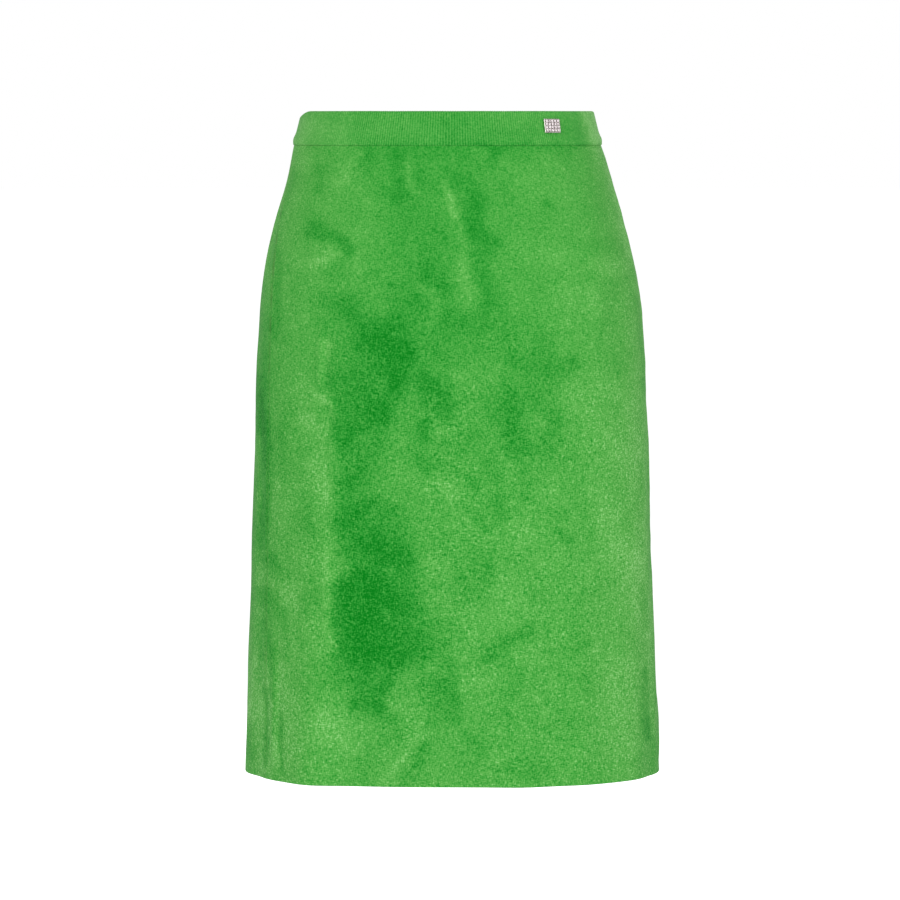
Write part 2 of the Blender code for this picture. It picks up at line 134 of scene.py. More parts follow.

# Where the pile is brushed another way, and painted light and shade: broad painted washes of
# light and shade, painted shade at the edges where the cloth turns away, painted highlights and
# shade along creases and the front's left corner fold, a painted shadow under the band and a
# painted sheen at its right end. These strokes end with a lightness out of a hundred in place of
# the height: above nothing where the pile looks light, below it where it looks dark.
NAP_AND_LIGHT_UNIT = 0.008
NAP_AND_LIGHT_GAIN = 1.22
STROKE_FADE = 0.7
STROKE_EDGE = 2.6
NAP_AND_LIGHT_STROKES = {}
NAP_AND_LIGHT_STROKES["front"] = (
    # Wide, faint changes first: painted shade over the middle, and painted light and sheen on the
    # outer parts, which face the light.
    (-14, 46, -7, 154, 55, -46), (0, 201, 3, 257, 41, -18), (-74, 248, -71, 351, 24, -28),
    (-31, 231, -28, 412, 33, -20), (66, 197, 70, 274, 29, -16), (-128, 16, -155, 119, 13, 42),
    (-160, 128, -162, 205, 8, 12), (-167, 498, -155, 562, 19, 46), (-141, 412, -141, 558, 10, 24),
    (-147, 326, -145, 420, 8, 20), (-128, 528, -102, 545, 17, 16), (129, 25, 160, 130, 10, 42),
    (149, 489, 156, 568, 19, 28), (165, 386, 170, 455, 8, 16), (163, 154, 171, 455, 11, 34),
    (141, 334, 149, 523, 29, 20),
    # Below the band: a painted shadow along the band's lower edge, a painted highlight along a
    # crease ridge below the middle with painted shade in the trough beside it, and brushed patches.
    (-83, 30, 18, 30, 2, -35), (18, 30, 129, 29, 2, -50), (27, 31, 44, 31, 3, -45),
    (-43, 38, -43, 78, 6, -62), (-50, 35, 10, 37, 5, -32), (-54, 68, -47, 71, 5, -35),
    (-40, 80, -40, 119, 9, -25), (42, 33, 39, 44, 5, -62), (49, 35, 70, 37, 6, -30),
    (94, 34, 103, 36, 5, -28), (-71, 34, -65, 39, 4, -40), (-112, 49, -112, 64, 5, -35),
    (-71, 44, -69, 56, 5, -25), (-79, 32, -73, 36, 3, 28), (-83, 42, -89, 57, 4, 32),
    (-98, 60, -95, 61, 4, 35), (-36, 49, -30, 69, 3, 38), (-1, 47, 6, 59, 4, -50),
    (-25, 42, -25, 59, 5, -25), (-19, 61, -12, 66, 6, -25), (-5, 60, 0, 74, 3, 62),
    (1, 74, 7, 88, 3, 80), (12, 99, 13, 130, 3, 46), (12, 131, 17, 162, 8, 50),
    (15, 62, 24, 76, 7, -45), (22, 80, 24, 99, 8, -70), (25, 102, 38, 116, 7, -70),
    (27, 123, 28, 140, 6, -50), (34, 147, 31, 188, 5, -40), (39, 107, 41, 111, 4, -40),
    (48, 73, 51, 76, 5, -28), (-117, 92, -115, 95, 5, -35), (-116, 102, -105, 106, 7, -68),
    (-104, 109, -95, 112, 4, -38), (-92, 111, -85, 122, 5, -66), (-66, 83, -68, 100, 7, 20),
    (-76, 104, -74, 119, 7, 15), (-128, 130, -116, 130, 6, 30), (-112, 131, -95, 124, 4, 34),
    (-100, 138, -95, 135, 7, -25), (-80, 128, -73, 135, 5, 25), (-68, 138, -64, 139, 5, -30),
    (-20, 131, -20, 144, 6, -52), (-12, 148, -6, 152, 6, -32), (-20, 115, -7, 109, 6, -32),
    (-16, 93, -15, 100, 6, -30), (-49, 148, -40, 151, 5, -38), (-109, 162, -85, 164, 8, -42),
    (-88, 166, -85, 175, 8, -55), (-112, 178, -105, 188, 5, -25), (-21, 152, -11, 154, 4, 28),
    (-11, 164, -15, 181, 3, 35), (-29, 162, -23, 167, 5, -25),
    # The right, above the middle.
    (83, 82, 90, 83, 3, -50), (65, 64, 96, 59, 10, 4), (127, 130, 141, 136, 7, 38),
    (94, 154, 117, 155, 6, 16), (123, 155, 125, 174, 7, 20), (104, 162, 101, 178, 5, 14),
    (61, 119, 96, 130, 10, 12), (142, 111, 130, 119, 7, -15),
    # The right, at the middle.
    (79, 199, 86, 212, 8, -38), (58, 217, 98, 221, 8, -42), (106, 214, 107, 219, 4, -58),
    (48, 188, 55, 207, 8, -20), (53, 243, 56, 265, 8, -62), (55, 274, 63, 285, 8, -68),
    (72, 251, 91, 257, 8, -42), (94, 269, 86, 283, 7, -38), (70, 229, 86, 234, 8, -30),
    (75, 264, 84, 271, 3, 35), (40, 250, 44, 265, 6, -25), (122, 244, 156, 291, 22, 25),
    (137, 235, 144, 241, 8, 20),
    # The upper dark patch and the spots beside it.
    (-85, 181, -83, 248, 19, -42), (-69, 185, -71, 195, 9, -75), (-57, 193, -50, 210, 14, -100),
    (-45, 207, -43, 231, 10, -110), (-43, 219, -44, 231, 6, -60), (-49, 179, -38, 183, 8, -60),
    (-38, 200, -31, 214, 7, -60), (-69, 207, -61, 216, 9, -70), (-98, 228, -92, 250, 8, -48),
    (-78, 228, -64, 252, 11, -48), (-45, 245, -59, 259, 8, -48), (-64, 253, -55, 260, 7, -55),
    (-19, 232, -17, 240, 8, -82), (-26, 229, -12, 230, 5, -45), (-7, 240, 1, 252, 6, -66),
    (-16, 245, -7, 259, 8, -35), (-21, 269, -19, 279, 6, -82), (-2, 255, 1, 262, 5, -30),
    (8, 224, 15, 234, 6, 25), (-7, 205, -2, 217, 5, -22),
    # The light strip to the left of the dark patches: brushed pile, with painted highlights along
    # the front's left corner fold.
    (-105, 197, -102, 205, 3, 38), (-107, 207, -108, 222, 3, 14), (-114, 243, -105, 250, 3, 45),
    (-109, 246, -95, 260, 3, 52), (-119, 265, -102, 286, 8, 28), (-112, 302, -105, 334, 8, 46),
    (-128, 231, -119, 265, 8, 18), (-105, 373, -102, 455, 3, 36), (-109, 420, -109, 489, 4, 10),
    (-128, 420, -112, 455, 8, 10), (-128, 369, -124, 420, 7, 18), (-116, 410, -121, 431, 7, -22),
    (-123, 351, -117, 362, 4, -32), (-128, 355, -126, 360, 3, -28), (-128, 417, -125, 425, 4, -22),
    # The narrow dark strip between the patches.
    (-90, 265, -92, 288, 8, -66), (-74, 265, -83, 277, 7, -50), (-62, 265, -64, 291, 7, -34),
    (-83, 283, -76, 308, 12, -50), (-69, 302, -84, 319, 3, -60), (-88, 320, -85, 351, 10, -62),
    (-74, 326, -71, 334, 7, -48), (-66, 338, -55, 346, 8, -60), (-88, 355, -83, 379, 9, -66),
    (-74, 348, -74, 365, 7, -50), (-45, 345, -38, 369, 7, -38), (-49, 302, -31, 315, 8, 18),
    (-55, 320, -49, 329, 7, 16), (-45, 277, -38, 283, 5, 20), (-25, 298, -18, 308, 5, -40),
    # The lower dark patch.
    (-62, 369, -55, 375, 13, -85), (-55, 379, -43, 384, 12, -120), (-71, 401, -61, 412, 14, -120),
    (-88, 412, -66, 403, 8, -95), (-66, 420, -66, 465, 21, -120), (-88, 424, -86, 463, 11, -100),
    (-43, 422, -31, 429, 10, -85), (-45, 437, -28, 451, 12, -75), (-43, 460, -25, 467, 10, -72),
    (-37, 396, -33, 413, 8, -50), (-42, 472, -41, 475, 6, -80), (-95, 479, -71, 496, 12, -34),
    (-71, 498, -64, 506, 11, -42), (-81, 510, -59, 512, 5, -55), (-49, 482, -57, 498, 4, -72),
    (-60, 498, -60, 511, 4, -50), (-55, 432, -52, 437, 3, 35), (-54, 486, -42, 498, 4, -20),
    (-59, 520, -45, 525, 6, -40), (-61, 541, -43, 535, 4, -25), (-16, 441, -11, 456, 7, -35),
    # The middle and the right, below.
    (-2, 322, 3, 331, 7, 42), (-21, 322, -12, 319, 7, 20), (-7, 274, 8, 267, 12, 18),
    (18, 315, 21, 322, 4, -35), (12, 281, 25, 277, 5, -22), (35, 303, 39, 312, 6, -46),
    (43, 334, 46, 348, 7, -42), (25, 345, 32, 357, 5, -22), (61, 295, 86, 293, 6, -36),
    (65, 308, 68, 332, 4, -28), (24, 384, 24, 401, 11, -34), (10, 398, 13, 403, 5, -38),
    (34, 391, 36, 400, 5, -38), (29, 413, 13, 418, 7, -26), (-14, 386, -7, 396, 8, 20),
    (58, 358, 67, 362, 7, 15), (94, 360, 103, 367, 4, -55), (134, 351, 156, 399, 10, 32),
    (31, 468, 44, 463, 6, -52), (49, 456, 70, 446, 6, -50), (82, 443, 84, 446, 3, -35),
    (55, 474, 61, 487, 6, -32), (106, 467, 120, 456, 5, -28), (15, 492, 36, 489, 5, 38),
    (-2, 475, 4, 484, 5, -48), (-7, 492, 3, 506, 7, -66), (-21, 494, -12, 508, 7, -34),
    (-7, 517, -2, 522, 6, -34), (-14, 526, -12, 526, 4, -55), (5, 518, 8, 522, 4, -40),
    (-4, 461, -2, 465, 4, -35), (52, 517, 55, 520, 3, -66), (48, 498, 55, 499, 5, -25),
    (24, 544, 31, 554, 7, -28), (48, 565, 84, 568, 7, -20), (13, 537, 20, 542, 6, -22),
    (118, 489, 123, 501, 5, -20), (-107, 525, -86, 542, 12, 30), (-69, 527, -66, 537, 5, 18),
    (-71, 542, -66, 561, 3, -25),
    # The edges, where the cloth turns away: painted shade.
    (-146, 107, -151, 197, 3, -36), (-166, 234, -164, 279, 5, -85), (-158, 265, -158, 334, 5, -56),
    (-145, 274, -141, 317, 5, -26), (-159, 343, -165, 377, 5, -70), (-155, 388, -147, 400, 7, -52),
    (-160, 420, -148, 433, 8, -50), (-162, 446, -166, 498, 4, -42), (-154, 455, -152, 508, 3, -58),
    (-143, 431, -140, 475, 3, -34), (-146, 525, -144, 573, 2, -72), (-159, 502, -159, 568, 2, -72),
    (-152, 506, -151, 542, 1, -50), (-151, 542, -150, 561, 3, 25), (-174, 541, -172, 565, 4, -45),
    (-164, 154, -166, 231, 4, -34), (120, 455, 122, 463, 3, -20), (166, 308, 166, 351, 3, -22),
    (169, 417, 172, 455, 3, -32), (171, 489, 172, 523, 3, -45), (173, 529, 175, 547, 3, -60),
    (156, 565, 165, 561, 4, -22),
    # The diagonal crease at the hem: a painted highlight along its ridge, painted shade beside it.
    (-56, 577, -25, 539, 3, 36), (-25, 539, -7, 523, 3, 26), (-40, 580, -18, 546, 4, -36),
    # The waistband: tone across it, and a painted sheen at its right end.
    (-123, 9, -89, 16, 15, 12), (-85, 14, 122, 14, 16, -15), (-109, 13, -105, 18, 5, 16),
    (-93, 7, -88, 19, 7, 4), (-59, 14, -7, 18, 6, 14), (12, 7, 32, 7, 4, -20),
    (32, 18, 70, 23, 7, -26), (98, 13, 113, 19, 9, -14), (120, 1, 127, 26, 7, 95),
)
NAP_AND_LIGHT_STROKES["back"] = (
    (48, 36, 46, 84, 6, -55), (28, 38, -14, 42, 6, -35), (-2, 52, -16, 70, 6, -50),
    (-20, 74, -30, 112, 7, -65), (-34, 118, -42, 160, 6, -50), (-60, 34, -100, 36, 5, -25),
    (-8, 62, -20, 96, 4, 80), (-26, 108, -30, 150, 5, 50), (104, 90, 108, 112, 7, -55),
    (92, 108, 82, 126, 4, -45), (118, 124, 100, 132, 6, 50), (134, 130, 132, 186, 5, 35),
    (20, 100, 12, 124, 7, -35), (62, 140, 44, 150, 6, -30), (-66, 70, -98, 82, 12, 20),
    (-84, 92, -82, 98, 4, -40), (-120, 150, -118, 180, 8, 50), (-140, 190, -152, 202, 7, -25),
    (90, 170, 82, 196, 8, -50), (60, 190, 44, 214, 12, -90), (40, 222, 34, 240, 9, -95),
    (26, 186, 6, 196, 7, -45), (86, 226, 74, 250, 9, -55), (50, 250, 72, 282, 9, -60),
    (14, 244, 4, 256, 6, -60), (108, 268, 102, 300, 9, 60), (110, 310, 108, 352, 9, 65),
    (30, 272, 20, 290, 8, 40), (-4, 250, -8, 292, 9, 45), (-74, 214, -98, 226, 8, -40),
    (-60, 262, -54, 286, 6, -45), (-76, 268, -84, 280, 4, 50), (-120, 250, -150, 290, 20, 30),
    (80, 306, 76, 356, 9, -55), (52, 352, 40, 372, 10, -90), (70, 386, 60, 424, 11, -100),
    (86, 420, 84, 462, 8, -70), (40, 410, 22, 420, 8, -55), (66, 446, 62, 470, 9, -80),
    (24, 440, 22, 462, 6, -50), (78, 492, 56, 500, 8, -50), (24, 316, 34, 340, 9, 50),
    (4, 330, -4, 366, 12, 45), (-20, 372, -36, 392, 10, -50), (-48, 310, -54, 336, 6, -40),
    (-100, 366, -106, 378, 5, -40), (-30, 470, -60, 452, 6, -45), (-14, 494, -34, 498, 5, 45),
    (8, 496, -10, 516, 8, -50), (30, 574, 64, 516, 4, 45), (40, 576, 70, 528, 4, -50),
    (-46, 562, -86, 566, 6, -30), (-110, 480, -124, 500, 6, -25), (-124, 330, -140, 400, 18, 25),
    (-96, 524, -140, 552, 14, 20), (120, 540, 96, 552, 9, 35), (90, 8, 82, 24, 7, 30),
    (-16, 6, 18, 9, 4, -25), (-60, 12, -90, 22, 6, -15),
)
NAP_AND_LIGHT_STROKES["left"] = (
    (-30, 60, -34, 130, 7, -35), (6, 90, 20, 150, 9, 30), (-46, 180, -48, 300, 8, -40),
    (20, 210, 8, 260, 12, -45), (40, 300, 34, 380, 10, 30), (-20, 330, -16, 420, 10, -35),
    (-44, 400, -42, 480, 7, 30), (14, 440, 26, 520, 10, -40), (-24, 520, 10, 556, 8, 30),
    (50, 480, 54, 560, 7, -30),
)
NAP_AND_LIGHT_STROKES["right"] = (
    (-16, 56, -28, 120, 7, 30), (26, 80, 38, 140, 8, -35), (-30, 170, -22, 240, 9, -35),
    (10, 220, 20, 300, 11, 30), (44, 260, 46, 350, 7, -40), (-20, 320, -28, 400, 9, -30),
    (16, 390, 4, 450, 10, -35), (-40, 460, -30, 540, 8, 25), (30, 500, 18, 570, 9, -35),
)


def follow(rows, column, drop):
    """A smooth curve through one column of a table whose first column is the drop.

    Between two rows it is the cubic that meets both values, with slopes from their neighbours.
    """
    levels = rows[:, 0]
    values = rows[:, column]
    slopes = np.gradient(values, levels)
    row = np.clip(np.searchsorted(levels, drop, side="right") - 1, 0, len(levels) - 2)
    span = levels[row + 1] - levels[row]
    part = np.clip((drop - levels[row]) / span, 0.0, 1.0)
    start = (1 + 2 * part) * (1 - part) ** 2 * values[row]
    start_slope = part * (1 - part) ** 2 * span * slopes[row]
    end = part**2 * (3 - 2 * part) * values[row + 1]
    end_slope = part**2 * (part - 1) * span * slopes[row + 1]
    return start + start_slope + end + end_slope


def fold_height(turn, drop):
    """How far the large folds push the cloth out: bells round the skirt, deepening downwards."""
    height = np.zeros(np.broadcast(turn, drop).shape)
    for start_drop, start_turn, hem_turn, half_angle, most in FOLDS:
        down = np.clip((drop - start_drop) / (SKIRT_LENGTH - start_drop), 0.0, 1.0)
        centre = start_turn + (hem_turn - start_turn) * down
        away = (turn - centre + 180.0) % 360.0 - 180.0
        height = height + most * down**FOLD_GROWTH * np.exp(-((away / half_angle) ** 2))
    return height


def cloth_point(turn, drop, out=0.0):
    """The place at a turn and a drop, moved out from the middle of the wall.

    A section is a rounded outline, |x / a| ** n + |y / b| ** n = 1, with its own depth in front
    and behind. The folds and the outward distance are added along the outline's normal.
    """
    turn, drop = np.broadcast_arrays(np.asarray(turn, float), np.asarray(drop, float))
    half_width, front_depth, back_depth, shift, squareness = (
        follow(SECTIONS, column, drop) for column in range(1, 6))
    across = np.sin(np.radians(turn))
    ahead = np.cos(np.radians(turn))
    depth = np.where(ahead > 0, front_depth, back_depth)
    x_share = np.sign(across) * np.abs(across) ** (2 / squareness)
    y_share = -np.sign(ahead) * np.abs(ahead) ** (2 / squareness)
    normal_x = np.sign(x_share) * np.abs(x_share) ** (squareness - 1) / half_width
    normal_y = np.sign(y_share) * np.abs(y_share) ** (squareness - 1) / depth
    outward = (fold_height(turn, drop) + out) / np.hypot(normal_x, normal_y)
    x = shift + half_width * x_share + normal_x * outward
    y = depth * y_share + normal_y * outward
    return np.stack((x, y, -drop), axis=-1)


def distance_per_degree(turn, drop):
    """How far along the cloth one degree of turn goes, at each place."""
    step = 0.5
    ahead = cloth_point(turn + step, drop)
    behind = cloth_point(turn - step, drop)
    return np.linalg.norm(ahead - behind, axis=-1) / (2 * step)


def soft_cloud(point, size, seed):
    """A smooth random field from -1 to 1: random values at the corners of cubic cells.

    Inside a cell they are blended on each axis by the smooth step, 3 t ** 2 - 2 t ** 3.
    """
    lattice = np.random.default_rng(seed).uniform(-1.0, 1.0, (CLOUD_CELLS,) * 3)
    cell = np.floor(point / size).astype(int)
    part = point / size - cell
    part = part**2 * (3 - 2 * part)
    total = np.zeros(point.shape[:-1])
    for corner in np.ndindex(2, 2, 2):
        weight = np.where(np.array(corner) == 1, part, 1 - part).prod(axis=-1)
        index = (cell + corner) % CLOUD_CELLS
        total = total + weight * lattice[index[..., 0], index[..., 1], index[..., 2]]
    return total


def clouds(point, *layers):
    """Soft clouds added together. Each layer is a cloud's size, seed and strength."""
    return sum(soft_cloud(point, size, seed) * strength for size, seed, strength in layers)


def sides_of(point, turn):
    """The four sides as flat views: each one's name, how much a place belongs to it, and across.

    Front and back meet in a short blend at the sides, and the sides' own marks lie over both.
    """
    x, y = point[..., 0], point[..., 1]
    ahead = np.cos(np.radians(turn)) + 0.0 * x
    aside = np.sin(np.radians(turn)) + 0.0 * x
    front_blend, side_start, side_blend = 0.12, 0.80, 0.15
    front = np.clip(ahead / front_blend + 0.5, 0.0, 1.0)
    left = np.clip((-aside - side_start) / side_blend, 0.0, 1.0)
    right = np.clip((aside - side_start) / side_blend, 0.0, 1.0)
    return ("front", front, x), ("back", 1.0 - front, x), ("left", left, y), ("right", right, y)


def beside_stroke(across, drop, stroke):
    """A stroke's share of the way along at the nearest place on it, and the distance from there.

    The distance is in half widths of the stroke. The stroke's numbers are in millimetres.
    """
    start_across, start_drop, end_across, end_drop, half_width = np.array(stroke) * MILLIMETRE
    run = end_across - start_across
    fall = end_drop - start_drop
    way = (across - start_across) * run + (drop - start_drop) * fall
    share = np.clip(way / (run**2 + fall**2), 0.0, 1.0)
    away = np.hypot(across - start_across - share * run, drop - start_drop - share * fall)
    return share, away / half_width


def crease_height(point, turn):
    """The small creases' height: a bell across each stroke, tapering to both its ends.

    Soft clouds of three sizes are added, because worn cloth is never quite even.
    """
    bend = clouds(point, (0.028, 2, 0.0022))
    total = np.zeros(point.shape[:-1])
    for side, mask, across in sides_of(point, turn):
        for *stroke, height in CREASES[side]:
            share, away = beside_stroke(across + bend, -point[..., 2], stroke)
            taper = 1.0 - (2.0 * share - 1.0) ** 4
            total = total + mask * height * MILLIMETRE * taper * np.exp(-(away**2))
    return total + clouds(point, (0.060, 3, 0.0007), (0.024, 4, 0.0003), (0.010, 5, 0.0001))


def nap_and_painted_light(point, turn):
    """How light or dark the pile looks, about -1 to 1, where it is brushed and where light and
    shade
    are painted: soft strokes with uneven edges.

    Each stroke fades as exp(-0.7 * distance ** 2.6). Strokes that lie over each other don't add
    up: each takes its share of what the others leave. Clouds first push each place aside, so that
    no edge is straight, and fainter clouds are added all over.
    """
    drift_across = clouds(point, (0.017, 11, 0.0020), (0.007, 12, 0.0022))
    drift_drop = clouds(point, (0.017, 13, 0.0024), (0.007, 14, 0.0024))
    shade = np.zeros(point.shape[:-1])
    for side, mask, across in sides_of(point, turn):
        not_lit = not_dimmed = np.ones(shade.shape)
        for *stroke, lightness in NAP_AND_LIGHT_STROKES[side]:
            away = beside_stroke(across + drift_across, drift_drop - point[..., 2], stroke)[1]
            amount = NAP_AND_LIGHT_UNIT * lightness * np.exp(-STROKE_FADE * away**STROKE_EDGE)
            if lightness > 0:
                not_lit = not_lit * (1.0 - amount)
            else:
                not_dimmed = not_dimmed * (1.0 + amount)
        shade = shade + mask * (not_dimmed - not_lit) * NAP_AND_LIGHT_GAIN
    return shade + clouds(point, (0.036, 21, 0.08), (0.015, 22, 0.11))


def edged_steps(length, count, radius):
    """Places from 0 to length: even steps, with finer ones where the cloth's edge is rounded."""
    edge = radius * np.array((0.0, 0.08, 0.3, 0.6, 1.0))
    past_edge = 1.8 * radius
    middle = np.linspace(past_edge, length - past_edge, count)
    return np.concatenate((edge, middle, length - edge[::-1]))


def grid_faces(numbers):
    """The four corners of each cell of a grid of vertex numbers, turned to face outwards."""
    corners = (numbers[:-1, :-1], numbers[1:, :-1], numbers[1:, 1:], numbers[:-1, 1:])
    return np.stack(corners, axis=-1).reshape(-1, 4)


def new_mesh(name, points, faces, uv, materials, material_index=None):
    """A smooth-shaded mesh object at the origin, from whole arrays, with a UV map in metres.

    A cell at a pole names the pole twice, and becomes a triangle.
    """
    once = faces != np.roll(faces, 1, axis=1)
    corners = faces[once]
    sizes = once.sum(axis=1)
    mesh = bpy.data.meshes.new(name)
    mesh.vertices.add(len(points))
    mesh.vertices.foreach_set("co", np.asarray(points, np.float32).ravel())
    mesh.loops.add(len(corners))
    mesh.loops.foreach_set("vertex_index", corners.astype(np.int32))
    mesh.polygons.add(len(faces))
    mesh.polygons.foreach_set("loop_start", (np.cumsum(sizes) - sizes).astype(np.int32))
    mesh.polygons.foreach_set("use_smooth", np.ones(len(faces), bool))
    for material in materials:
        mesh.materials.append(material)
    if material_index is not None:
        mesh.polygons.foreach_set("material_index", material_index.astype(np.int32))
    layer = mesh.uv_layers.new(name="cloth")
    layer.data.foreach_set("uv", np.asarray(uv, np.float32)[corners].ravel())
    mesh.update(calc_edges=True)
    mesh.validate()
    piece = bpy.data.objects.new(name, mesh)
    bpy.context.scene.collection.objects.link(piece)
    return piece


def add_shade(piece, name, values):
    """Stores one number for each vertex, for the material to read."""
    attribute = piece.data.attributes.new(name, "FLOAT", "POINT")
    attribute.data.foreach_set("value", np.asarray(values, np.float32).ravel())


def seam_turn(seam, drop):
    """A side seam's turn at a drop: its side's turn and how far it runs forward of that."""
    side_turn, column, forward = seam
    return side_turn + forward * follow(SEAMS, column, drop)


def make_panel(name, first_seam, last_seam, steps_round, steps_down, materials):
    """A velour panel: an outer and an inner surface that meet in rounded edges all round.

    The outer surface is the cloth's middle moved out by half the wall, the inner one moved in.
    Near an edge the half wall shrinks as the height of a quarter circle does. The top edge is
    tucked up between the waistband's layers. A low puckered welt, a bell across, runs beside each
    side seam, and the pile parts in patches on the seam.
    """
    top = BAND_HEIGHT - TUCKED_IN_BAND
    down = edged_steps(SKIRT_LENGTH - top, steps_down, VELOUR_WALL / 2)
    drop = top + down
    first = seam_turn(first_seam, drop)
    last = seam_turn(last_seam, drop)
    first = first + SIDE_SEAM_GAP / 2 / distance_per_degree(first, drop)
    last = last - SIDE_SEAM_GAP / 2 / distance_per_degree(last, drop)
    shares = np.linspace(0.02, 0.98, 25)[:, None]
    girth = np.mean(distance_per_degree(first + (last - first) * shares, drop) * (last - first))
    around = edged_steps(girth, steps_round, SIDE_EDGE_RADIUS)
    turn = first[:, None] + (last - first)[:, None] * (around / girth)[None, :]
    drop = np.broadcast_to(drop[:, None], turn.shape)
    from_sides = np.minimum(around, girth - around)[None, :]
    from_ends = np.minimum(down, down[-1] - down)[:, None]
    inset = np.minimum(from_sides / SIDE_EDGE_RADIUS, from_ends / (VELOUR_WALL / 2))
    half_wall = VELOUR_WALL / 2 * np.sqrt(1.0 - np.clip(1.0 - inset, 0.0, 1.0) ** 2)
    place = cloth_point(turn, drop)
    below_band = np.clip((drop - BAND_HEIGHT) / RELIEF_ONSET, 0.0, 1.0)
    pucker = 1.0 + clouds(place, (0.011, 7, 0.6))
    welt = WELT_HEIGHT * pucker * np.exp(-(((from_sides - WELT_OFFSET) / WELT_HALF_WIDTH) ** 2))
    relief = (crease_height(place, turn) + welt) * below_band
    outer = cloth_point(turn, drop, relief + half_wall)
    inner = cloth_point(turn, drop, relief - half_wall)

    inside = (slice(1, -1), slice(1, -1))
    outer_numbers = np.arange(turn.size).reshape(turn.shape)
    inner_numbers = outer_numbers.copy()
    within = inner_numbers[inside]
    inner_numbers[inside] = turn.size + np.arange(within.size).reshape(within.shape)
    faces = np.concatenate((grid_faces(outer_numbers), grid_faces(inner_numbers)[:, ::-1]))
    points = np.concatenate((outer.reshape(-1, 3), inner[inside].reshape(-1, 3)))
    flat = np.stack(np.broadcast_arrays(around[None, :], -drop), axis=-1)
    uv = np.concatenate((flat.reshape(-1, 2), flat[inside].reshape(-1, 2)))
    is_inner = np.arange(len(faces)) >= len(faces) // 2
    panel = new_mesh(name, points, faces, uv, materials, is_inner)

    patches = np.clip(0.4 + clouds(place, (0.007, 8, 0.7), (0.035, 9, 0.5)), 0.0, 1.0)
    fainter_below = 1.0 - 0.7 * np.clip((drop - PARTING_FADE) / PARTING_FADE, 0.0, 1.0)
    parting = patches * fainter_below * np.exp(-((from_sides / PARTING_HALF_WIDTH) ** 2))
    # Stored for the material: the brushed pile with its painted light and shade, and the seam's
    # parting.
    for attribute, values in (("nap_and_light", nap_and_painted_light(place, turn)), ("parted", parting)):
        add_shade(panel, attribute, np.concatenate((values.ravel(), values[inside].ravel())))
    return panel


def set_inputs(tree, shader_node, inputs):
    """Gives each named input a plain value, or joins it to another node's output."""
    for key, value in inputs.items():
        if isinstance(value, bpy.types.NodeSocket):
            tree.links.new(value, shader_node.inputs[key])
        else:
            shader_node.inputs[key].default_value = value


def node(tree, kind, inputs=None, **settings):
    """A new shader node of a kind, with the given inputs and settings."""
    made = tree.nodes.new("ShaderNode" + kind)
    for key, value in settings.items():
        setattr(made, key, value)
    set_inputs(tree, made, inputs or {})
    return made


def maths(tree, operation, *terms):
    """A Math node's result. Each term is a plain number or another node's output."""
    return node(tree, "Math", dict(enumerate(terms)), operation=operation).outputs[0]


def colour_ramp(tree, amount, *stops):
    """The colour at an amount on a ramp. Each stop is a position and a colour."""
    ramp = node(tree, "ValToRGB", {"Fac": amount})
    elements = ramp.color_ramp.elements
    while len(elements) < len(stops):
        elements.new(0.5)
    for element, (position, colour) in zip(elements, stops):
        element.position = position
        element.color = (*colour, 1.0)
    return ramp.outputs["Color"]


def bump(tree, height, strength, distance):
    """The surface's normal, tilted as a height slopes."""
    inputs = {"Height": height, "Strength": strength, "Distance": distance}
    return node(tree, "Bump", inputs).outputs["Normal"]


def object_place(tree):
    """The place on the piece, in metres."""
    return node(tree, "TexCoord").outputs["Object"]


def stored(tree, name):
    """The number stored at each vertex under a name."""
    return node(tree, "Attribute", attribute_name=name).outputs["Fac"]


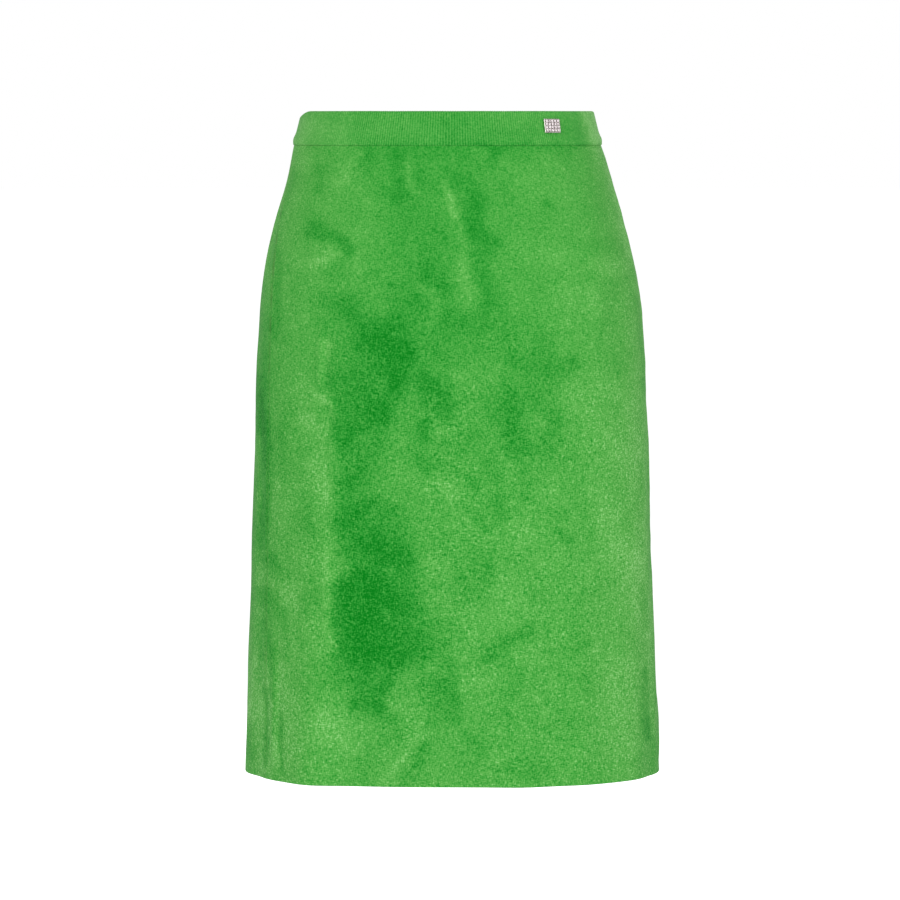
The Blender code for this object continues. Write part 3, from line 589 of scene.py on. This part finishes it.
def pile_group():
    """Dyed green pile, shared by the velour and the rib knit, from a given lightness: the brushed
    pile with its painted light and shade.

    To that lightness it adds mottles, from 20 mm down to 2 mm across, and tufts of about 1 mm that
    run along the knit's level courses and its upright wales. The sum picks the green: deep and cool
    where it is low, yellower and pale where it is high, so painted shade comes out as deeper green
    and painted light as paler green. It also gives a height.
    """
    tree = bpy.data.node_groups.new("dyed_pile_and_painted_light", "ShaderNodeTree")
    for name, default in (("Nap And Light", 0.0), ("Mottle Strength", 1.0), ("Tuft Strength", 1.0)):
        socket = tree.interface.new_socket(name, in_out="INPUT", socket_type="NodeSocketFloat")
        socket.default_value = default
    tree.interface.new_socket("Green", in_out="OUTPUT", socket_type="NodeSocketColor")
    tree.interface.new_socket("Height", in_out="OUTPUT", socket_type="NodeSocketFloat")
    given = tree.nodes.new("NodeGroupInput").outputs
    place = object_place(tree)

    mottles = node(tree, "TexNoise",
                   {"Vector": place, "Scale": 48.0, "Detail": 3.0, "Roughness": 0.95})
    mottles = maths(tree, "SUBTRACT", mottles.outputs["Fac"], 0.5)
    mottles = maths(tree, "MULTIPLY", mottles, given["Mottle Strength"])
    grains = []
    for finer_on in ((0.4, 0.4, 1.15), (1.15, 1.15, 0.4)):
        drawn_out = node(tree, "Mapping", {"Vector": place, "Scale": finer_on})
        grain = node(tree, "TexNoise",
                     {"Vector": drawn_out.outputs["Vector"], "Scale": 980.0, "Detail": 0.0})
        grains.append(grain.outputs["Fac"])
    height = maths(tree, "ADD", *grains)
    tufts = maths(tree, "SUBTRACT", height, 1.0)
    tufts = maths(tree, "MULTIPLY", tufts, given["Tuft Strength"])
    both = maths(tree, "MULTIPLY_ADD", tufts, 2.0, maths(tree, "MULTIPLY", mottles, 0.75))
    livelier = maths(tree, "MULTIPLY_ADD", given["Nap And Light"], 0.05, 1.0)
    pile = maths(tree, "MULTIPLY_ADD", both, livelier, given["Nap And Light"])
    green = colour_ramp(tree, maths(tree, "MULTIPLY_ADD", pile, 0.333, 0.507),
                        (0.0, (0.001, 0.192, 0.008)), (0.17, (0.015, 0.261, 0.023)),
                        (0.33, (0.040, 0.321, 0.039)), (0.5, (0.075, 0.373, 0.058)),
                        (0.67, (0.121, 0.441, 0.084)), (0.83, (0.206, 0.546, 0.146)),
                        (1.0, (0.290, 0.640, 0.220)))
    set_inputs(tree, tree.nodes.new("NodeGroupOutput"), {"Green": green, "Height": height})
    return tree


DYED_PILE_AND_PAINTED_LIGHT = pile_group()


def new_material(name):
    """A material with nodes, and its tree and Principled BSDF."""
    material = bpy.data.materials.new(name)
    material.use_nodes = True
    tree = material.node_tree
    return material, tree, tree.nodes["Principled BSDF"]


def velour_material():
    """Velour: the dyed pile, with painted light and shade in its colour, brownish where it parts at
    a seam, with a faint sheen and a bump.

    Its tufts stand out less near the waistband, where the knit is stretched, than further down.
    """
    material, tree, shader = new_material("velour_pile")
    height = node(tree, "SeparateXYZ", {"Vector": object_place(tree)}).outputs["Z"]
    tufted = node(tree, "MapRange",
                  {"Value": height, "From Min": -0.02, "From Max": -0.30,
                   "To Min": 0.66, "To Max": 1.04}).outputs["Result"]
    pile = node(tree, "Group",
                {"Nap And Light": stored(tree, "nap_and_light"), "Mottle Strength": tufted, "Tuft Strength": tufted},
                node_tree=DYED_PILE_AND_PAINTED_LIGHT)
    base = node(tree, "Mix",
                {"Factor": maths(tree, "MULTIPLY", stored(tree, "parted"), 0.55),
                 "A": pile.outputs["Green"], "B": (0.080, 0.165, 0.040, 1.0)},
                data_type="RGBA", blend_type="MIX")
    set_inputs(tree, shader, {
        "Base Color": base.outputs["Result"],
        "Normal": bump(tree, pile.outputs["Height"], 0.5, 0.0005),
        "Roughness": 0.95,
        "Specular IOR Level": 0.03,
        "Sheen Weight": 0.12,
        "Sheen Roughness": 0.42,
        "Sheen Tint": (0.95, 0.85, 0.85, 1.0),
    })
    return material


def knit_back_material():
    """The velour's reverse: a plain fine knit ground, with wales down it and courses across."""
    material, tree, shader = new_material("knit_reverse")
    place = node(tree, "UVMap", uv_map="cloth").outputs["UV"]
    bands = []
    for direction, scale in (("X", 130.0), ("Y", 170.0)):
        band = node(tree, "TexWave",
                    {"Vector": place, "Scale": scale, "Distortion": 0.6, "Detail": 1.0},
                    bands_direction=direction)
        bands.append(band.outputs["Fac"])
    loops = maths(tree, "MULTIPLY", *bands)
    set_inputs(tree, shader, {
        "Base Color": colour_ramp(tree, loops, (0.0, (0.030, 0.220, 0.028)),
                                  (1.0, (0.085, 0.370, 0.062))),
        "Normal": bump(tree, loops, 0.5, 0.0004),
        "Roughness": 0.9,
        "Specular IOR Level": 0.2,
    })
    return material


# A seam is its side's turn, its column in SEAMS, and which way round is forward.
LEFT_SEAM = (-90.0, 1, 1.0)
LEFT_SEAM_FROM_BEHIND = (270.0, 1, 1.0)
RIGHT_SEAM = (90.0, 2, -1.0)
velour_materials = (velour_material(), knit_back_material())
front = make_panel("velour_front", LEFT_SEAM, RIGHT_SEAM, 178, 240, velour_materials)
back = make_panel("velour_back", RIGHT_SEAM, LEFT_SEAM_FROM_BEHIND, 196, 222, velour_materials)
for panel, cad_node, cut, cut_area in ((front, "front_panel", (0.406, 0.552), 0.217),
                                       (back, "back_panel", (0.590, 0.552), 0.296)):
    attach(panel, "root")
    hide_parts(cad_node)

# --- Waistband -------------------------------------------------------------------------------
# The waistband is one strip of one-by-one rib knit, folded double at its top edge and closed to a
# ring. Its two layers hold the velour's top edge between them. Towards the sides the fine upright
# ribs fade into fuzz.

BAND_WALL = 0.0036
BAND_SLOT = 0.0022
BAND_SLOT_DEPTH = 0.0027
BAND_FOOT = 0.0012
SLOT_FOOT = 0.0014
RIB_COUNT = 380
STEPS_PER_RIB = 6
RIB_DEPTH = 0.00034
RIB_ROUNDNESS = 0.8
RIBS_LEFT_AT_SIDES = 0.12
FUZZ_START = 0.48
FUZZ_BLEND = 0.30
SIDE_DIP = 0.0046
SIDE_DIP_HALF_ANGLE = 20.0
SIDE_BULGE = 0.0012
SIDE_BULGE_DROP = 0.0245
SIDE_BULGE_HALF_HEIGHT = 0.0036
SIDE_BULGE_FADE = 5
DEGREES_PER_METRE = 500.0


def stretch(out, drop, rib_out, rib_up=0.0):
    """A stretch of the band's outline: out from the wall's middle, drop, and the ribs' way."""
    return np.stack(np.broadcast_arrays(out, drop, rib_out, rib_up), axis=-1)


def closed_grid(rows, columns):
    """Vertex numbers of a grid that closes both ways: its first row and column end it too."""
    numbers = np.arange(rows * columns).reshape(rows, columns)
    return np.pad(numbers, ((0, 1), (0, 1)), mode="wrap")


def make_waistband(materials):
    """The ribbed ring: one closed outline of the folded strip, carried right round the waist.

    The outline goes up the outer face, over the fold in half a circle, down the inner face and up
    into the slot between the layers. Each point moves out along its normal by the rib wave, a
    rounded cosine of the turn. At the left side, where the band was pressed flat, the top dips by
    half a cosine. At both sides the outer face bulges above the seam, a bell down the band.
    """
    radius = BAND_WALL / 2
    half_slot = BAND_SLOT / 2
    slot_top = BAND_HEIGHT - BAND_SLOT_DEPTH
    slot_foot = BAND_HEIGHT - SLOT_FOOT
    foot = BAND_HEIGHT - BAND_FOOT
    bend = np.linspace(0.0, np.pi, 11)[1:-1]
    lip = stretch((half_slot, half_slot + 0.00015, radius - 0.00025, radius),
                  (BAND_HEIGHT - 0.0002, BAND_HEIGHT, BAND_HEIGHT, BAND_HEIGHT - 0.0003),
                  (0.0, 0.3, 0.7, 1.0))
    profile = np.concatenate((
        lip,
        stretch(radius, np.linspace(foot, radius, 12), 1.0),
        stretch(radius * np.cos(bend), radius - radius * np.sin(bend), np.cos(bend), np.sin(bend)),
        stretch(-radius, np.linspace(radius, foot, 6), -1.0),
        lip[::-1] * (-1, 1, -1, 1),
        stretch((-half_slot, -half_slot, half_slot, half_slot),
                (slot_foot, slot_top, slot_top, slot_foot), 0.0),
    ))
    out, level, rib_out, rib_up = profile.T[:, :, None]
    count = RIB_COUNT * STEPS_PER_RIB
    turn = np.arange(count) / count * 360.0 - 180.0
    wave = np.cos(np.radians(turn * RIB_COUNT))
    wave = np.sign(wave) * np.abs(wave) ** RIB_ROUNDNESS
    from_side = np.clip((turn + 90.0) / SIDE_DIP_HALF_ANGLE, -1.0, 1.0)
    dip = SIDE_DIP * (0.5 + 0.5 * np.cos(np.pi * from_side))
    drop = level + dip * (1.0 - level / BAND_HEIGHT)
    place = cloth_point(turn, drop)
    ahead = np.abs(np.cos(np.radians(turn)))
    clear = np.clip((ahead - FUZZ_START) / FUZZ_BLEND, 0.0, 1.0)
    clear = RIBS_LEFT_AT_SIDES + (1.0 - RIBS_LEFT_AT_SIDES) * clear
    clear = clear * (0.85 + clouds(place, (0.012, 32, 0.3)))
    lift = RIB_DEPTH / 2 * wave * clear
    bulge = SIDE_BULGE * np.exp(-(((drop - SIDE_BULGE_DROP) / SIDE_BULGE_HALF_HEIGHT) ** 2))
    bulge = bulge * (1.0 - ahead**2) ** SIDE_BULGE_FADE * np.clip(rib_out, 0.0, 1.0)
    swell = clouds(place, (0.030, 31, 0.00035)) + bulge
    points = cloth_point(turn, drop - rib_up * lift, out + rib_out * lift + swell)
    uv = np.stack(np.broadcast_arrays(turn / DEGREES_PER_METRE, -level), axis=-1)
    faces = grid_faces(closed_grid(len(profile), count))[:, ::-1]
    ring = new_mesh("rib_waistband", points.reshape(-1, 3), faces, uv.reshape(-1, 2), materials)
    # Stored for the material: the ribs' crests, for painted highlights on them and painted shade in
    # the grooves, and the strokes of brushed pile with painted light and shade.
    add_shade(ring, "crest", wave * clear)
    add_shade(ring, "nap_and_light", nap_and_painted_light(place, turn))
    return ring


def rib_material():
    """Rib knit: the same dyed yarn, with a painted highlight on the ribs' crests and painted shade
    in the grooves between.
    """
    material, tree, shader = new_material("rib_knit")
    # Painted highlight on the crests and painted shade in the grooves, added to the stroke
    # lightness.
    nap_and_light = maths(tree, "MULTIPLY_ADD", stored(tree, "crest"), 0.42, stored(tree, "nap_and_light"))
    yarn = node(tree, "Group",
                {"Nap And Light": nap_and_light, "Mottle Strength": 0.8, "Tuft Strength": 0.55}, node_tree=DYED_PILE_AND_PAINTED_LIGHT)
    set_inputs(tree, shader, {
        "Base Color": yarn.outputs["Green"],
        "Normal": bump(tree, yarn.outputs["Height"], 0.4, 0.0004),
        "Roughness": 0.9,
        "Specular IOR Level": 0.15,
        "Sheen Weight": 0.12,
        "Sheen Roughness": 0.45,
        "Sheen Tint": (0.95, 0.85, 0.85, 1.0),
    })
    return material


band = make_waistband((rib_material(),))
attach(band, "root")
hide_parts("waistband")

# --- Plaque ----------------------------------------------------------------------------------
# The plaque is a small cast metal plate, silver coloured and polished, held to the band by prongs
# bent over behind the knit. A raised rim runs round its face, and beads of its metal stand at the
# corners between the stones and hold them.

PLAQUE_WIDTH = 0.0158
PLAQUE_HEIGHT = 0.0121
PLAQUE_THICKNESS = 0.0012
PLAQUE_TURN = 42.6
PLAQUE_DROP = 0.0128
PLAQUE_SEAT = 0.0004
STONE_COLUMNS = 5
STONE_ROWS = 4
STONE_PITCH_ACROSS = 0.0029
STONE_PITCH_DOWN = 0.0027
STONE_RADIUS = 0.00118
STONE_HEIGHT = 0.0009
STONE_SIDES = 8
STONE_GAP = 0.0003
BEAD_RADIUS = 0.00036
BEAD_LIFT = 0.6
BEAD_DRAWN_UP = 1.5
BEAD_SIDES = 10
RIM_RADIUS = 0.00030
RIM_INSET = 0.00036
RIM_CORNER = 0.00050
RIM_SIDES = 10


def on_plaque(across, up, out):
    """Places on the plaque: across and up its face from its middle, and out from its back.

    Across runs along the band's outline, out is square to across and to the band's slope, and up
    is square to those two.
    """
    centre = cloth_point(PLAQUE_TURN, PLAQUE_DROP, BAND_WALL / 2 + PLAQUE_SEAT)
    before, after = cloth_point(PLAQUE_TURN + np.array((-1.0, 1.0)), PLAQUE_DROP)
    above, below = cloth_point(PLAQUE_TURN, PLAQUE_DROP + np.array((-0.002, 0.002)))
    along = (after - before) / np.linalg.norm(after - before)
    normal = np.cross(along, above - below)
    normal = normal / np.linalg.norm(normal)
    upwards = np.cross(normal, along)
    places = np.multiply.outer(across, along) + np.multiply.outer(up, upwards)
    return centre + places + np.multiply.outer(out, normal)


def turned_shape(radii, heights, steps, twist=0.0):
    """A turned shape from its profile, closed at both ends by a pole where the radius is nothing.

    Ring number k is the circle of k's radius at k's height, turned by k times the twist.
    """
    around = np.arange(steps) / steps * 2 * np.pi
    rings = np.arange(len(radii))[1:-1]
    angle = around[None, :] + twist * rings[:, None]
    radius = np.asarray(radii)[rings, None]
    sides = np.stack((radius * np.cos(angle), radius * np.sin(angle),
                      np.asarray(heights)[rings, None] + 0.0 * angle), axis=-1)
    ends = np.array(((0.0, 0.0, heights[0]), (0.0, 0.0, heights[-1])))
    points = np.concatenate((sides.reshape(-1, 3), ends))
    numbers = np.arange(len(rings) * steps).reshape(len(rings), steps)
    first_pole = np.full((1, steps), len(points) - 2)
    numbers = np.concatenate((first_pole, numbers, first_pole + 1))
    numbers = np.pad(numbers, ((0, 0), (0, 1)), mode="wrap")
    return points, grid_faces(numbers)[:, ::-1]


def plaque_mesh(name, across, up, above_face, faces, material):
    """A mesh from its points' places on the plaque, with the heights above the plate's face."""
    out = PLAQUE_THICKNESS + above_face + 0.0 * across
    uv = np.stack((across, up), axis=-1).reshape(-1, 2)
    return new_mesh(name, on_plaque(across, up, out).reshape(-1, 3), faces, uv, (material,))


def set_in_rows(name, across, up, shape, material):
    """One mesh with a copy of a shape at each crossing of the rows and columns on the plaque."""
    points, faces = shape
    places = np.stack(np.meshgrid(across, up, indexing="ij"), axis=-1).reshape(-1, 2)
    x = places[:, None, 0] + points[:, 0]
    y = places[:, None, 1] + points[:, 1]
    faces = np.arange(len(places))[:, None, None] * len(points) + faces
    return plaque_mesh(name, x, y, points[:, 2], faces.reshape(-1, 4), material)


def spread(count, pitch):
    """Places at an even pitch, with their middle at nothing."""
    return (np.arange(count) - (count - 1) / 2) * pitch


def make_beads(material):
    """The beads: balls, drawn up a little, between the stones and beside the outer ones."""
    edge = 2 * RIM_INSET + BEAD_RADIUS
    half_width = PLAQUE_WIDTH / 2 - edge
    half_height = PLAQUE_HEIGHT / 2 - edge
    across = np.clip(spread(STONE_COLUMNS + 1, STONE_PITCH_ACROSS), -half_width, half_width)
    up = np.clip(spread(STONE_ROWS + 1, STONE_PITCH_DOWN), -half_height, half_height)
    latitude = np.linspace(-np.pi / 2, np.pi / 2, 8)
    ball = turned_shape(BEAD_RADIUS * np.cos(latitude),
                        BEAD_RADIUS * (BEAD_LIFT + BEAD_DRAWN_UP * np.sin(latitude)), BEAD_SIDES)
    return set_in_rows("plaque_beads", across, up, ball, material)


def make_stones(material):
    """The cut stones: a girdle and a crown of flat facets, each ring turned by half a facet."""
    radii = STONE_RADIUS * np.array((0.0, 0.85, 1.0, 1.0, 0.82, 0.56, 0.0))
    heights = STONE_GAP + STONE_HEIGHT * np.array((-0.20, 0.0, 0.25, 0.38, 0.72, 1.0, 1.0))
    crown = turned_shape(radii, heights, STONE_SIDES, np.pi / STONE_SIDES)
    stones = set_in_rows("plaque_stones", spread(STONE_COLUMNS, STONE_PITCH_ACROSS),
                         spread(STONE_ROWS, STONE_PITCH_DOWN), crown, material)
    stones.data.polygons.foreach_set("use_smooth", np.zeros(len(stones.data.polygons), bool))
    return stones


def make_rim(material):
    """The raised rim: a round bead of metal carried round the plate's face, with round corners.

    The path is a rectangle whose corners are quarter circles. The section is a circle.
    """
    quarter = np.linspace(0.0, np.pi / 2, 6)
    half_width = PLAQUE_WIDTH / 2 - RIM_INSET - RIM_CORNER
    half_height = PLAQUE_HEIGHT / 2 - RIM_INSET - RIM_CORNER
    corners = np.array(((1, 1), (-1, 1), (-1, -1), (1, -1)))
    angle = (quarter + np.arange(4)[:, None] * np.pi / 2).reshape(-1, 1)
    right, top = np.repeat(corners, len(quarter), axis=0).T[:, :, None]
    around = np.arange(RIM_SIDES) / RIM_SIDES * 2 * np.pi
    reach = RIM_CORNER + RIM_RADIUS * np.cos(around)
    x = right * half_width + reach * np.cos(angle)
    y = top * half_height + reach * np.sin(angle)
    faces = grid_faces(closed_grid(*x.shape))
    return plaque_mesh("plaque_rim", x, y, RIM_RADIUS * np.sin(around), faces, material)


def plaque_material():
    """Polished silver-coloured metal: cloudy in its gloss, a little tarnished in soft patches."""
    material, tree, shader = new_material("plaque_metal")
    cloud = node(tree, "TexNoise",
                 {"Vector": object_place(tree), "Scale": 900.0, "Detail": 4.0}).outputs["Fac"]
    gloss = node(tree, "MapRange", {"Value": cloud, "To Min": 0.14, "To Max": 0.36})
    set_inputs(tree, shader, {
        "Base Color": colour_ramp(tree, cloud, (0.35, (0.46, 0.40, 0.38)),
                                  (0.62, (0.80, 0.76, 0.74))),
        "Roughness": gloss.outputs["Result"],
        "Metallic": 1.0,
    })
    return material


def stone_material():
    """Cut stones, faintly pink, with painted reflections: light and dark patches of the room are
    painted into their facets' colour.
    """
    material, tree, shader = new_material("cut_stone")
    # Painted reflections: light and dark cells in the base colour stand for the room mirrored in
    # the facets.
    facets = node(tree, "TexVoronoi", {"Vector": object_place(tree), "Scale": 1100.0})
    set_inputs(tree, shader, {
        "Base Color": colour_ramp(tree, facets.outputs["Color"], (0.20, (0.42, 0.34, 0.36)),
                                  (0.62, (0.95, 0.87, 0.88))),
        "Roughness": 0.04,
        "IOR": 1.7,
    })
    return material


metal = plaque_material()
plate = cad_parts["plaque_plate"]
plate.data.materials.clear()
plate.data.materials.append(metal)
for trim in (make_beads(metal), make_rim(metal)):
    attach(trim, "root")
stones = make_stones(stone_material())
stone_nodes = [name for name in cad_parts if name.startswith("stone_")]
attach(stones, "root")
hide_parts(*stone_nodes)

# --- Studio ----------------------------------------------------------------------------------
# A plain pale floor, a white surround and soft light from in front, above and behind. The camera
# stands level with the waistband, 4.2 m in front, and looks slightly down.

FLOOR_DROP = 1.05
FLOOR_REACH = 60.0
FLOOR_STEPS = 96
FLOOR_GLOW = 0.6
CAMERA_DISTANCE = 4.2
CAMERA_TILT = 4.061
CAMERA_LENS = 190.96
CAMERA_X = 0.0013


def make_floor():
    """A wide pale disc, a little bright of itself. From underneath it is clear and hides nothing.

    It is a turned shape of four rings, without the cells that would close it over a far pole.
    """
    rings = np.array((0.0, 0.5, 2.0, 8.0, FLOOR_REACH, 0.0))
    points, faces = turned_shape(rings, np.full(len(rings), -FLOOR_DROP), FLOOR_STEPS)
    faces = faces[: (len(rings) - 2) * FLOOR_STEPS, ::-1]
    material, tree, shader = new_material("pale_floor")
    seen = node(tree, "LightPath").outputs["Is Camera Ray"]
    set_inputs(tree, shader, {
        "Base Color": (0.90, 0.90, 0.90, 1.0),
        "Roughness": 0.9,
        "Emission Color": (1.0, 1.0, 1.0, 1.0),
        "Emission Strength": maths(tree, "MULTIPLY", seen, FLOOR_GLOW),
    })
    clear = node(tree, "BsdfTransparent")
    side = node(tree, "NewGeometry")
    mix = node(tree, "MixShader", {"Fac": side.outputs["Backfacing"],
                                   1: shader.outputs["BSDF"], 2: clear.outputs["BSDF"]})
    set_inputs(tree, tree.nodes["Material Output"], {"Surface": mix.outputs["Shader"]})
    new_mesh("floor", points[:-1], faces, points[:-1, :2], (material,))


make_floor()

# Large soft square lights that face the skirt's middle: name, size, power, place.
middle = Vector((0.0, 0.0, -0.29))
for name, size, power, place in (("key", 2.4, 72.0, (-1.6, -3.4, 1.6)),
                                 ("fill", 3.0, 48.0, (2.4, -3.0, 0.4)),
                                 ("rear", 3.0, 44.0, (0.4, 3.6, 0.9))):
    light = bpy.data.lights.new(name, "AREA")
    light.shape = "SQUARE"
    light.size = size
    light.energy = power
    lamp = bpy.data.objects.new(name, light)
    lamp.location = place
    lamp.rotation_euler = (middle - Vector(place)).to_track_quat("-Z", "Y").to_euler()
    bpy.context.scene.collection.objects.link(lamp)

world = bpy.data.worlds.new("white_surround")
bpy.context.scene.world = world
world.use_nodes = True
camera_ray = node(world.node_tree, "LightPath").outputs["Is Camera Ray"]
brightness = node(world.node_tree, "MapRange",
                  {"Value": camera_ray, "To Min": 0.5, "To Max": 1.0})
set_inputs(world.node_tree, world.node_tree.nodes["Background"],
           {"Color": (1.0, 1.0, 1.0, 1.0), "Strength": brightness.outputs["Result"]})

camera_data = bpy.data.cameras.new("camera")
camera_data.lens = CAMERA_LENS
camera_data.sensor_width = 36.0
camera_data.clip_end = 100.0
camera = bpy.data.objects.new("camera", camera_data)
camera.location = (CAMERA_X, -CAMERA_DISTANCE, 0.0)
camera.rotation_euler = (np.radians(90.0 - CAMERA_TILT), 0.0, 0.0)
bpy.context.scene.collection.objects.link(camera)
bpy.context.scene.camera = camera
bpy.context.scene.view_settings.view_transform = "Standard"
